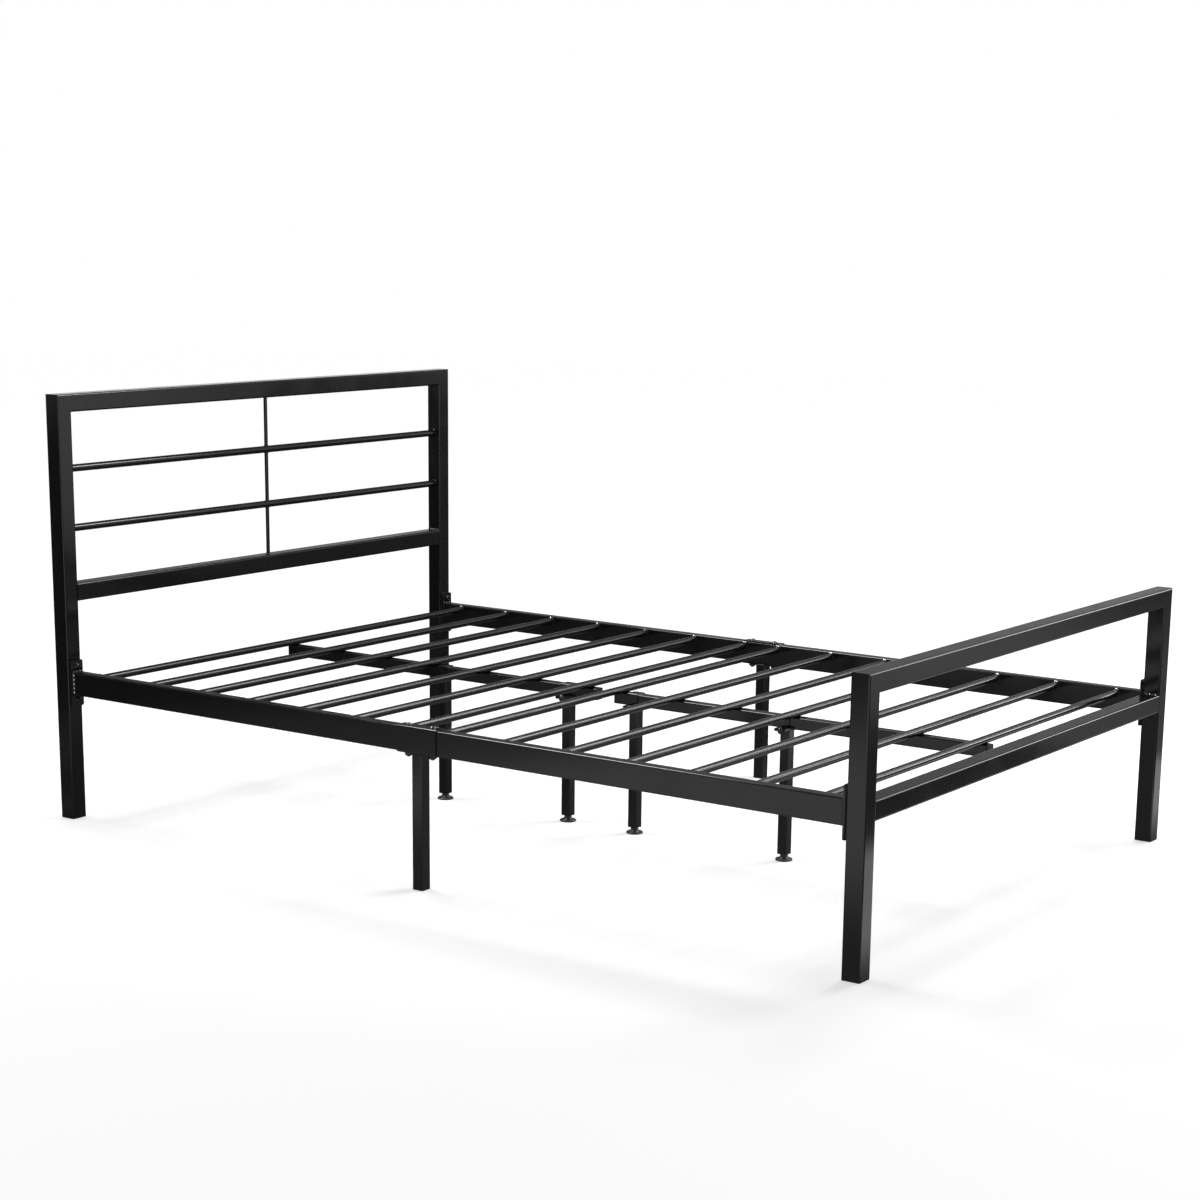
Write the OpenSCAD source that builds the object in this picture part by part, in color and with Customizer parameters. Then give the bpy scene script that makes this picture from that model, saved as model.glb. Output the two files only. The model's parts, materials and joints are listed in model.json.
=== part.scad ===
// Metal bed frame that bolts together from two end frames and four side rail halves.
// Millimetres. The origin is on the floor under the middle of the bed.
// +Y points to the head end and +Z is up. Left in the names is the -X side, seen from the foot end.

/* [Overall size] */
// Overall length of the bed
bed_length = 2000; // [1850:5:2200]
// Overall width of the bed
bed_width = 1300; // [900:5:1600]
// Height of the head end
head_height = 915; // [860:5:1100]
// Height of the foot end
foot_height = 548; // [440:4:760]

/* [End frames] */
// Outside size of the square corner posts and end rails
post_size = 38; // [35:1:45]
// Wall thickness of the posts and end rails
post_wall = 1.5; // [1:0.1:2.5]
// Outside corner radius of the posts and end rails
post_corner = 3.5; // [2.5:0.5:5]
// Height of the top face of the lower head rail
head_low_rail_top = 513; // [460:1:560]
// Height of the top face of the lower foot rail
foot_low_rail_top = 322; // [290:1:380]
// Height of the axis of the upper round rod of the head end
rod_upper_z = 757; // [720:1:800]
// Height of the axis of the lower round rod of the head end
rod_lower_z = 630; // [590:1:690]
// Outside diameter of the round rods of the head end
rod_diameter = 16; // [14:0.5:20]
// Wall thickness of the round rods
rod_wall = 1.2; // [0.8:0.1:2]
// Diameter of the thin upright bar in the middle of the head end
upright_diameter = 8.5; // [6:0.5:10]

/* [Side rails] */
// Height of the top face of the side rails
rail_top_z = 325; // [295:1:380]
// Height of the side rail tube
rail_height = 50; // [44:1:56]
// Width of the side rail tube
rail_width = 25; // [22:1:28]
// Wall thickness of the side rails
rail_wall = 1.5; // [1:0.1:2]
// Outside corner radius of the side rails
rail_corner = 2.5; // [1.5:0.5:3]
// Gap between the two halves of a side rail
seam_gap = 0.6; // [0.2:0.1:2]

/* [Corner plates] */
// Height of the plate welded to the end of a side rail
plate_height = 100; // [96:1:120]
// Width of that plate
plate_width = 33; // [30:1:36]
// Thickness of that plate
plate_sheet = 4; // [3:0.5:6]
// Corner radius of that plate
plate_corner = 4; // [2:0.5:7]
// Thickness of the pad between the plate and the post
pad_thickness = 4; // [2:0.5:6]
// How far the pad stays inside the edge of the plate
pad_inset = 1.5; // [0.5:0.5:3]
// Distance between the two bolts of a corner plate
corner_bolt_spacing = 73; // [70:1:78]
// Diameter of the corner bolts and of the middle joint bolts
bolt_diameter = 8; // [6:1:9]

/* [Middle joint] */
// Length of the channel bracket that joins two rail halves
bracket_length = 98; // [92:1:120]
// Sheet thickness of that bracket
bracket_sheet = 2; // [1.5:0.5:3]
// Distance between the two bolts of that bracket
joint_bolt_spacing = 60; // [56:1:64]
// Outside size of the square leg under the bracket
mid_leg_size = 25; // [20:1:28]
// Wall thickness of that leg
mid_leg_wall = 1.5; // [1:0.1:2]

/* [Slats] */
// Outside diameter of the round slats
slat_diameter = 16; // [13:0.5:18]
// Wall thickness of the slats
slat_wall = 1.2; // [0.8:0.1:2]
// Height of the slat axis
slat_z = 314; // [286:1:368]
// Slats in each half of the bed
slats_per_half = 7; // [6:1:8]
// Distance from the middle joint to the first slat axis
first_slat = 46; // [40:1:60]
// Distance from the last slat axis to the inner face of the end frame
last_slat_gap = 64; // [50:1:80]

/* [Centre rail] */
// Outside size of the square rail under the slats
centre_rail_size = 25; // [22:1:30]
// Wall thickness of the centre rail
centre_rail_wall = 1.5; // [1:0.1:2]
// Outside corner radius of the centre rail
centre_rail_corner = 2; // [1:0.5:2.5]
// Open distance between the two halves of the centre rail
centre_rail_gap = 48; // [30:1:60]
// Distance from the end of the centre rail to the inner face of the end frame
centre_rail_end = 51; // [30:1:60]
// Thickness of the visible flange of the end plugs
plug_flange = 4; // [2:0.5:6]
// Depth of the plug inside the tube
plug_depth = 16; // [10:1:25]

/* [Centre legs] */
// Outside size of the square centre legs
centre_leg_size = 22; // [20:1:25]
// Wall thickness of the centre legs
centre_leg_wall = 1.5; // [1:0.1:2]
// Sheet thickness of the saddle straps
strap_sheet = 2; // [1.5:0.5:3]
// Width of a saddle strap along the bed
strap_width = 25; // [22:1:28]
// Bend radius on the outside of the saddle strap
strap_bend = 3; // [2.5:0.5:4]
// Thickness of the plate on top of a centre leg
leg_plate_sheet = 2.5; // [2:0.5:4]
// Distance between the two bolts of a saddle strap
clamp_bolt_spacing = 56; // [54:1:62]
// Distance from a clamp bolt axis to the end of the plate
clamp_plate_end = 10; // [8.5:0.5:12]
// Diameter of the clamp bolts
clamp_bolt_diameter = 6; // [5:1:7]
// Slat, counted from the middle joint, that the outer legs stand beside
outer_leg_slat = 4; // [3:1:5]
// Free space between an outer leg's strap and that slat
outer_leg_space = 1.5; // [0.5:0.5:10]
// Distance from the first slat axis to the inner leg of the head half
inner_leg_head = 59; // [25:1:70]
// Distance from the first slat axis to the inner leg of the foot half
inner_leg_foot = 27; // [25:1:70]

/* [Glides] */
// Height of the lower end of the centre leg tubes above the floor
leg_lift = 14; // [12:0.5:20]
// Diameter of the glide's base
glide_diameter = 36; // [30:1:42]
// Height of the glide's base
glide_base = 7; // [6:0.5:8]
// Diameter of the glide's neck
glide_neck = 16; // [14:0.5:17]
// Diameter of the glide's threaded stem
stem_diameter = 8; // [6:1:9]
// Length of the threaded stem
stem_length = 42; // [36:1:60]
// How far the glide can screw in from its place at rest
glide_in = 6; // [3:0.5:6]
// How far the glide can screw out from its place at rest
glide_out = 12; // [5:1:15]

/* [Hidden] */
$fn = 64;
// clearances
bolt_clear = 0.5;
thread_clear = 0.05;
slip = 0.2;
weld_touch = 0.1;
// one factor between bolt size and head, nut and washer sizes
head_ratio = 1.75;
nut_ratio = 1.625;
nut_thick_ratio = 0.8;
washer_ratio = 2.05;
washer_sheet = 1.5;
head_high_ratio = 0.55;
bolt_stick_out = 2.5;
mid_leg_corner = 2;
centre_leg_corner = 2;
flange_corner_share = 0.64;

// planes that the pieces share
post_x = (bed_width - post_size) / 2;
inner_x = bed_width / 2 - post_size;
post_y = (bed_length - post_size) / 2;
inner_y = bed_length / 2 - post_size;
rail_mid_z = rail_top_z - rail_height / 2;
rail_low_z = rail_top_z - rail_height;
rail_in_x = post_x - rail_width / 2;
rail_end_y = inner_y - pad_thickness - plate_sheet;
slat_pitch = (inner_y - last_slat_gap - first_slat) / (slats_per_half - 1);
centre_rail_top = slat_z - slat_diameter / 2 - weld_touch;
centre_rail_low = centre_rail_top - centre_rail_size;
centre_rail_out = inner_y - centre_rail_end;
centre_rail_in = centre_rail_gap / 2;
leg_plate_low = centre_rail_low - leg_plate_sheet;
strap_top = centre_rail_top + weld_touch / 2 + strap_sheet;
clamp_plate_length = clamp_bolt_spacing + 2 * clamp_plate_end;
outer_leg_y = slat_at(outer_leg_slat - 1) - slat_diameter / 2 - strap_width / 2 - outer_leg_space;
inner_leg_head_y = slat_at(0) + inner_leg_head;
inner_leg_foot_y = -slat_at(0) - inner_leg_foot;
LEG_Y = [outer_leg_y, inner_leg_head_y, inner_leg_foot_y, -outer_leg_y];
// the neck ends this far above the leg's end, and the bushing sits above its highest place
neck_top = leg_lift + 2;
bushing_low = neck_top + glide_in + 1;
bushing_depth = 20;
stem_low = 3;
bracket_low = rail_low_z - slip - bracket_sheet;
bracket_top = rail_top_z + slip + bracket_sheet;

function slat_at(i) = first_slat + i * slat_pitch;

// ---- shapes used by more than one piece ----

// rectangle with round corners, centred
module round_rect(w, h, r) {
  square([w - 2 * r, h], center = true);
  square([w, h - 2 * r], center = true);
  for (sx = [-1, 1])
    for (sy = [-1, 1])
      translate([sx * (w / 2 - r), sy * (h / 2 - r)])
        circle(r);
}

// wall of a rectangular tube in section
module tube_section(w, h, r, wall) {
  difference() {
    round_rect(w, h, r);
    round_rect(w - 2 * wall, h - 2 * wall, max(r - wall, 0.5));
  }
}

// upright rectangular tube, from z = 0
module tube_up(w, h, r, wall, length) {
  linear_extrude(height = length)
    tube_section(w, h, r, wall);
}

// rectangular tube along X, centred, w is along Y and h is along Z
module tube_x(w, h, r, wall, length) {
  rotate([90, 0, 90])
    translate([0, 0, -length / 2])
      tube_up(w, h, r, wall, length);
}

// rectangular tube along Y from y0 to y1, w is along X and h is along Z
module tube_y(w, h, r, wall, y0, y1) {
  translate([0, y1, 0])
    rotate([90, 0, 0])
      tube_up(w, h, r, wall, y1 - y0);
}

// round tube along X, centred
module round_tube_x(d, wall, length) {
  rotate([0, 90, 0])
    difference() {
      cylinder(d = d, h = length, center = true);
      cylinder(d = d - 2 * wall, h = length + 2, center = true);
    }
}

// half dome head with a hexagon socket, standing on z = 0
module dome_head(bolt) {
  head_r = bolt * head_ratio / 2;
  head_h = bolt * head_high_ratio;
  ball_r = (head_r * head_r + head_h * head_h) / (2 * head_h);
  difference() {
    rotate_extrude()
      intersection() {
        translate([0, head_h - ball_r])
          circle(ball_r, $fn = 128);
        square([head_r, head_h]);
      }
    translate([0, 0, head_h * 0.45])
      cylinder(d = bolt * 0.7, h = head_h, $fn = 6);
  }
}

// dome-headed bolt, head on z = 0, shank going down
module dome_bolt(bolt, shank) {
  union() {
    dome_head(bolt);
    translate([0, 0, -shank])
      cylinder(d = bolt, h = shank + 0.5);
  }
}

// hexagon nut with its upper face on z = 0
module hex_nut(bolt) {
  thick = bolt * nut_thick_ratio;
  translate([0, 0, -thick])
    difference() {
      intersection() {
        cylinder(d = bolt * nut_ratio / cos(30), h = thick, $fn = 6);
        rotate_extrude()
          polygon([
            [0, 0],
            [bolt * nut_ratio / 2, 0],
            [bolt * nut_ratio / 2 + 1.2, 0.7],
            [bolt * nut_ratio / 2 + 1.2, thick],
            [0, thick]
          ]);
      }
      translate([0, 0, -1])
        cylinder(r = bolt / 2 + thread_clear, h = thick + 2);
    }
}

// ---- end frames ----

// everything below the mitre that joins the posts and the top rail
module under_mitre(height) {
  rotate([90, 0, 0])
    linear_extrude(height = post_size + 2, center = true)
      polygon([
        [-bed_width / 2 - 1, -1],
        [-inner_x + 1, -1],
        [-inner_x + 1, height - post_size - 1],
        [-bed_width / 2 - 1, height + 1]
      ]);
}

// holes for the corner bolts in the face of a post that looks at the bed
module post_bolt_holes() {
  for (s = [-1, 1])
    translate([0, -post_size / 2, rail_mid_z + s * corner_bolt_spacing / 2])
      rotate([90, 0, 0])
        cylinder(d = bolt_diameter + bolt_clear, h = 4 * post_wall, center = true);
}

// post on the -X side, its bolted face looking along -Y
module end_post(height) {
  difference() {
    intersection() {
      translate([-post_x, 0, 0])
        tube_up(post_size, post_size, post_corner, post_wall, height);
      under_mitre(height);
    }
    translate([-post_x, 0, 0])
      post_bolt_holes();
  }
}

// top rail with mitred ends
module end_top_rail(height) {
  intersection() {
    translate([0, 0, height - post_size / 2])
      tube_x(post_size, post_size, post_corner, post_wall, bed_width);
    rotate([90, 0, 0])
      linear_extrude(height = post_size + 2, center = true)
        polygon([
          [-bed_width / 2 - 1, height + 1],
          [-inner_x + 1, height - post_size - 1],
          [inner_x - 1, height - post_size - 1],
          [bed_width / 2 + 1, height + 1]
        ]);
  }
}

// lower rail between the posts
module end_lower_rail(top) {
  translate([0, 0, top - post_size / 2])
    tube_x(post_size, post_size, post_corner, post_wall, 2 * inner_x);
}

module head_post_left() {
  color("dimgray")
    translate([0, post_y, 0])
      end_post(head_height);
}

module head_post_right() {
  color("dimgray")
    mirror([1, 0, 0])
      translate([0, post_y, 0])
        end_post(head_height);
}

module head_top_rail() {
  color("slategray")
    translate([0, post_y, 0])
      end_top_rail(head_height);
}

module head_lower_rail() {
  color("slategray")
    translate([0, post_y, 0])
      end_lower_rail(head_low_rail_top);
}

// round rod of the head end, with the hole that the upright bar passes through
module head_rod(z) {
  translate([0, post_y, z])
    difference() {
      round_tube_x(rod_diameter, rod_wall, 2 * inner_x);
      cylinder(r = upright_diameter / 2 + thread_clear, h = rod_diameter + 2, center = true);
    }
}

module head_rod_upper() {
  color("gray")
    head_rod(rod_upper_z);
}

module head_rod_lower() {
  color("gray")
    head_rod(rod_lower_z);
}

module head_upright() {
  color("silver")
    translate([0, post_y, head_low_rail_top])
      cylinder(d = upright_diameter, h = head_height - post_size - head_low_rail_top);
}

module foot_post_left() {
  color("dimgray")
    mirror([0, 1, 0])
      translate([0, post_y, 0])
        end_post(foot_height);
}

module foot_post_right() {
  color("dimgray")
    mirror([1, 0, 0])
      mirror([0, 1, 0])
        translate([0, post_y, 0])
          end_post(foot_height);
}

module foot_top_rail() {
  color("slategray")
    translate([0, -post_y, 0])
      end_top_rail(foot_height);
}

module foot_lower_rail() {
  color("slategray")
    translate([0, -post_y, 0])
      end_lower_rail(foot_low_rail_top);
}

// ---- side rails ----

// rail half on the -X side of the head half
module side_rail_half() {
  difference() {
    translate([-post_x, 0, rail_mid_z])
      tube_y(rail_width, rail_height, rail_corner, rail_wall, seam_gap / 2, rail_end_y);
    translate([-post_x, joint_bolt_spacing / 2, rail_low_z - 1])
      cylinder(d = bolt_diameter + bolt_clear, h = rail_height + 2);
  }
}

module side_rail_head_left() {
  color("steelblue")
    side_rail_half();
}

module side_rail_head_right() {
  color("steelblue")
    mirror([1, 0, 0])
      side_rail_half();
}

module side_rail_foot_left() {
  color("lightsteelblue")
    mirror([0, 1, 0])
      side_rail_half();
}

module side_rail_foot_right() {
  color("lightsteelblue")
    mirror([1, 0, 0])
      mirror([0, 1, 0])
        side_rail_half();
}

// ---- corner joints ----

// flat piece with two bolt holes at the -X head corner, its rear face at y = y0 + t
module corner_sheet(w, h, r, t, y0, hole) {
  translate([-post_x, y0 + t, rail_mid_z])
    rotate([90, 0, 0])
      difference() {
        linear_extrude(height = t)
          round_rect(w, h, r);
        for (s = [-1, 1])
          translate([0, s * corner_bolt_spacing / 2, -1])
            cylinder(d = hole, h = t + 2);
      }
}

module corner_plate() {
  corner_sheet(plate_width, plate_height, plate_corner, plate_sheet, rail_end_y,
    bolt_diameter + bolt_clear);
}

module corner_pad() {
  corner_sheet(plate_width - 2 * pad_inset, plate_height - 2 * pad_inset,
    max(plate_corner - pad_inset, 1), pad_thickness, rail_end_y + plate_sheet,
    bolt_diameter + 2 * bolt_clear);
}

module corner_plate_head_left() {
  color("goldenrod")
    corner_plate();
}

module corner_plate_head_right() {
  color("goldenrod")
    mirror([1, 0, 0])
      corner_plate();
}

module corner_plate_foot_left() {
  color("goldenrod")
    mirror([0, 1, 0])
      corner_plate();
}

module corner_plate_foot_right() {
  color("goldenrod")
    mirror([1, 0, 0])
      mirror([0, 1, 0])
        corner_plate();
}

module corner_pad_head_left() {
  color("black")
    corner_pad();
}

module corner_pad_head_right() {
  color("black")
    mirror([1, 0, 0])
      corner_pad();
}

module corner_pad_foot_left() {
  color("black")
    mirror([0, 1, 0])
      corner_pad();
}

module corner_pad_foot_right() {
  color("black")
    mirror([1, 0, 0])
      mirror([0, 1, 0])
        corner_pad();
}

// puts its child at every corner bolt axis, +Z of the child looking at the bed, y0 from the middle
module at_corner_bolts(y0) {
  for (mx = [0, 1])
    for (my = [0, 1])
      for (s = [-1, 1])
        mirror([mx, 0, 0])
          mirror([0, my, 0])
            translate([-post_x, y0, rail_mid_z + s * corner_bolt_spacing / 2])
              rotate([90, 0, 0])
                children();
}

corner_nut_thick = bolt_diameter * nut_thick_ratio;

module corner_bolts() {
  color("silver")
    at_corner_bolts(rail_end_y - washer_sheet)
      dome_bolt(bolt_diameter, washer_sheet + plate_sheet + pad_thickness + post_wall
        + corner_nut_thick + bolt_stick_out);
}

module corner_washers() {
  color("lightgray")
    at_corner_bolts(rail_end_y)
      difference() {
        cylinder(d = bolt_diameter * washer_ratio, h = washer_sheet);
        translate([0, 0, -1])
          cylinder(d = bolt_diameter + bolt_clear, h = washer_sheet + 2);
      }
}

module corner_weld_nuts() {
  color("darkgray")
    at_corner_bolts(inner_y + post_wall)
      hex_nut(bolt_diameter);
}

// ---- middle joint ----

// channel around the outer side, top and bottom of the rail on the -X side, open towards the bed
module joint_bracket() {
  wide = rail_width + slip + bracket_sheet;
  high = rail_height + 2 * slip + 2 * bracket_sheet;
  outer_x = -rail_in_x - rail_width - slip - bracket_sheet;
  difference() {
    translate([outer_x, bracket_length / 2, bracket_low])
      rotate([90, 0, 0])
        linear_extrude(height = bracket_length)
          difference() {
            channel_outline(wide, high, rail_corner + bracket_sheet);
            translate([bracket_sheet, bracket_sheet])
              channel_outline(wide, high - 2 * bracket_sheet, rail_corner);
          }
    for (s = [-1, 1])
      translate([-post_x, s * joint_bolt_spacing / 2, bracket_low - 1])
        cylinder(d = bolt_diameter + bolt_clear, h = high + 2);
  }
}

// rectangle from the origin with its two -X corners rounded
module channel_outline(w, h, r) {
  translate([r, 0])
    square([w - r, h]);
  translate([0, r])
    square([w, h - 2 * r]);
  translate([r, r])
    circle(r);
  translate([r, h - r])
    circle(r);
}

module joint_bracket_left() {
  color("orange")
    joint_bracket();
}

module joint_bracket_right() {
  color("orange")
    mirror([1, 0, 0])
      joint_bracket();
}

module mid_leg() {
  translate([-post_x, 0, 0])
    tube_up(mid_leg_size, mid_leg_size, mid_leg_corner, mid_leg_wall, bracket_low);
}

module mid_leg_left() {
  color("teal")
    mid_leg();
}

module mid_leg_right() {
  color("teal")
    mirror([1, 0, 0])
      mid_leg();
}

// puts its child at every vertical bolt axis of the middle joints
module at_joint_bolts(z) {
  for (sx = [-1, 1])
    for (sy = [-1, 1])
      translate([sx * post_x, sy * joint_bolt_spacing / 2, z])
        children();
}

module joint_bolts() {
  color("silver")
    at_joint_bolts(bracket_top)
      dome_bolt(bolt_diameter, bracket_top - bracket_low
        + bolt_diameter * nut_thick_ratio + bolt_stick_out);
}

module joint_nuts() {
  color("darkgray")
    at_joint_bolts(bracket_low)
      hex_nut(bolt_diameter);
}

// ---- slats ----

module slats_half() {
  for (i = [0 : slats_per_half - 1])
    translate([0, slat_at(i), slat_z])
      round_tube_x(slat_diameter, slat_wall, 2 * rail_in_x);
}

module slats_head_half() {
  color("mediumseagreen")
    slats_half();
}

module slats_foot_half() {
  color("seagreen")
    mirror([0, 1, 0])
      slats_half();
}

// ---- centre rail ----

module centre_rail_half() {
  translate([0, 0, centre_rail_low + centre_rail_size / 2])
    tube_y(centre_rail_size, centre_rail_size, centre_rail_corner, centre_rail_wall,
      centre_rail_in + plug_flange, centre_rail_out - plug_flange);
}

module centre_rail_head() {
  color("mediumpurple")
    centre_rail_half();
}

module centre_rail_foot() {
  color("plum")
    mirror([0, 1, 0])
      centre_rail_half();
}

// end plug, its flange from y = 0 to plug_flange, its spigot towards +Y
module end_plug() {
  spigot = centre_rail_size - 2 * centre_rail_wall - 2 * thread_clear;
  translate([0, plug_flange, 0])
    rotate([90, 0, 0]) {
      linear_extrude(height = plug_flange)
        round_rect(centre_rail_size, centre_rail_size, centre_rail_corner);
      translate([0, 0, -plug_depth])
        linear_extrude(height = plug_depth + 0.5)
          difference() {
            round_rect(spigot, spigot, 1);
            round_rect(spigot - 4, spigot - 4, 1);
          }
    }
}

module centre_rail_plugs() {
  color("black")
    for (my = [0, 1])
      mirror([0, my, 0])
        translate([0, 0, centre_rail_low + centre_rail_size / 2]) {
          translate([0, centre_rail_in, 0])
            end_plug();
          translate([0, centre_rail_out, 0])
            mirror([0, 1, 0])
              end_plug();
        }
}

// ---- centre legs ----

// section of the saddle strap on one side, the X and Z of the bed
module strap_half_section() {
  in_w = centre_rail_size / 2 + slip;
  out_w = in_w + strap_sheet;
  flange_top = centre_rail_low + strap_sheet;
  // top, with the outer bend
  difference() {
    union() {
      translate([0, strap_top - strap_sheet])
        square([out_w - strap_bend, strap_sheet]);
      translate([out_w - strap_bend, strap_top - strap_bend])
        circle(strap_bend);
      translate([in_w, flange_top])
        square([strap_sheet, strap_top - strap_bend - flange_top]);
    }
    translate([out_w - strap_bend, strap_top - strap_bend])
      circle(strap_bend - strap_sheet);
    translate([out_w - 2 * strap_bend, strap_top - 3 * strap_bend])
      square([2 * strap_bend - strap_sheet, 2 * strap_bend]);
    translate([0, strap_top - 2 * strap_sheet])
      square([out_w - strap_bend, strap_sheet]);
  }
  // wall, foot bend and flange
  translate([in_w, centre_rail_low])
    square([clamp_plate_length / 2 - in_w, strap_sheet]);
  translate([in_w, centre_rail_low])
    square([strap_sheet, strap_sheet + 1]);
}

// outline of the strap flanges and of the leg's plate, seen from above
module clamp_outline() {
  round_rect(clamp_plate_length, strap_width, strap_width / 2 * flange_corner_share);
}

module clamp_bolt_holes(z0, h) {
  for (s = [-1, 1])
    translate([s * clamp_bolt_spacing / 2, 0, z0])
      cylinder(d = clamp_bolt_diameter + bolt_clear, h = h);
}

module saddle_strap(y) {
  translate([0, y, 0])
    difference() {
      intersection() {
        rotate([90, 0, 0])
          linear_extrude(height = strap_width, center = true) {
            strap_half_section();
            mirror([1, 0])
              strap_half_section();
          }
        translate([0, 0, centre_rail_low - 1])
          linear_extrude(height = strap_top - centre_rail_low + 2)
            clamp_outline();
      }
      clamp_bolt_holes(centre_rail_low - 1, strap_sheet + 2);
    }
}

module saddle_strap_1() {
  color("tomato")
    saddle_strap(LEG_Y[0]);
}

module saddle_strap_2() {
  color("tomato")
    saddle_strap(LEG_Y[1]);
}

module saddle_strap_3() {
  color("tomato")
    saddle_strap(LEG_Y[2]);
}

module saddle_strap_4() {
  color("tomato")
    saddle_strap(LEG_Y[3]);
}

// square tube with the plate that is welded across its top
module centre_leg(y) {
  translate([0, y, 0]) {
    translate([0, 0, leg_lift])
      tube_up(centre_leg_size, centre_leg_size, centre_leg_corner, centre_leg_wall,
        leg_plate_low - leg_lift + 0.2);
    difference() {
      translate([0, 0, leg_plate_low])
        linear_extrude(height = leg_plate_sheet)
          clamp_outline();
      clamp_bolt_holes(leg_plate_low - 1, leg_plate_sheet + 2);
    }
  }
}

module centre_leg_1() {
  color("darkcyan")
    centre_leg(LEG_Y[0]);
}

module centre_leg_2() {
  color("darkcyan")
    centre_leg(LEG_Y[1]);
}

module centre_leg_3() {
  color("darkcyan")
    centre_leg(LEG_Y[2]);
}

module centre_leg_4() {
  color("darkcyan")
    centre_leg(LEG_Y[3]);
}

// puts its child at every clamp bolt axis
module at_clamp_bolts(z) {
  for (y = LEG_Y)
    for (s = [-1, 1])
      translate([s * clamp_bolt_spacing / 2, y, z])
        children();
}

module clamp_bolts() {
  color("silver")
    at_clamp_bolts(centre_rail_low + strap_sheet)
      dome_bolt(clamp_bolt_diameter, strap_sheet + leg_plate_sheet
        + clamp_bolt_diameter * nut_thick_ratio + bolt_stick_out);
}

module clamp_nuts() {
  color("darkgray")
    at_clamp_bolts(leg_plate_low)
      hex_nut(clamp_bolt_diameter);
}

// ---- levelling glides ----

// plug with a threaded bore, pressed into the lower end of a centre leg
module leg_bushings() {
  side = centre_leg_size - 2 * centre_leg_wall - 2 * thread_clear;
  color("dimgray")
    for (y = LEG_Y)
      translate([0, y, bushing_low])
        difference() {
          linear_extrude(height = bushing_depth)
            round_rect(side, side, 1);
          translate([0, 0, -1])
            cylinder(r = stem_diameter / 2 + thread_clear, h = bushing_depth + 2);
        }
}

// stem, from inside the glide's foot up into the bushing
module glide_stem(y) {
  translate([0, y, stem_low])
    cylinder(d = stem_diameter, h = stem_length);
}

// round foot that turns with the screw: flat base, domed shoulder and neck
module glide_foot(y) {
  edge = 2.4;
  translate([0, y, 0])
    difference() {
      rotate_extrude($fn = 96) {
        polygon([
          [0, 0],
          [glide_diameter / 2 - 1, 0],
          [glide_diameter / 2, 1],
          [glide_diameter / 2, edge],
          [glide_diameter / 2 - 1.2, edge + 1.5],
          [glide_diameter / 2 - 4.5, edge + 3],
          [glide_neck / 2 + 2, glide_base - 0.4],
          [glide_neck / 2, glide_base + 1.5],
          [glide_neck / 2 - 0.5, glide_base + 4],
          [glide_neck / 2, neck_top],
          [0, neck_top]
        ]);
      }
      translate([0, 0, stem_low])
        cylinder(r = stem_diameter / 2 + thread_clear, h = neck_top);
    }
}

module glide_stem_1() {
  color("silver")
    glide_stem(LEG_Y[0]);
}

module glide_stem_2() {
  color("silver")
    glide_stem(LEG_Y[1]);
}

module glide_stem_3() {
  color("silver")
    glide_stem(LEG_Y[2]);
}

module glide_stem_4() {
  color("silver")
    glide_stem(LEG_Y[3]);
}

module glide_foot_1() {
  color("black")
    glide_foot(LEG_Y[0]);
}

module glide_foot_2() {
  color("black")
    glide_foot(LEG_Y[1]);
}

module glide_foot_3() {
  color("black")
    glide_foot(LEG_Y[2]);
}

module glide_foot_4() {
  color("black")
    glide_foot(LEG_Y[3]);
}

head_post_left();
head_post_right();
head_top_rail();
head_lower_rail();
head_rod_upper();
head_rod_lower();
head_upright();
foot_post_left();
foot_post_right();
foot_top_rail();
foot_lower_rail();
side_rail_head_left();
side_rail_head_right();
side_rail_foot_left();
side_rail_foot_right();
corner_plate_head_left();
corner_plate_head_right();
corner_plate_foot_left();
corner_plate_foot_right();
corner_pad_head_left();
corner_pad_head_right();
corner_pad_foot_left();
corner_pad_foot_right();
corner_bolts();
corner_washers();
corner_weld_nuts();
joint_bracket_left();
joint_bracket_right();
mid_leg_left();
mid_leg_right();
joint_bolts();
joint_nuts();
slats_head_half();
slats_foot_half();
centre_rail_head();
centre_rail_foot();
centre_rail_plugs();
saddle_strap_1();
saddle_strap_2();
saddle_strap_3();
saddle_strap_4();
centre_leg_1();
centre_leg_2();
centre_leg_3();
centre_leg_4();
clamp_bolts();
clamp_nuts();
leg_bushings();
glide_stem_1();
glide_stem_2();
glide_stem_3();
glide_stem_4();
glide_foot_1();
glide_foot_2();
glide_foot_3();
glide_foot_4();
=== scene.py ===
"""Looks of the bolted steel bed frame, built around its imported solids.

The tubes, plates and straps are the solids themselves, in a powder coat. What repeats is made here
with Geometry Nodes: the slats, every weld, the bolts, washers and nuts, and the screw threads. The
glide feet are turned to the curve of their moulding.
"""

import json
import math

import bmesh
import bpy
from mathutils import Matrix, Vector


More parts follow.
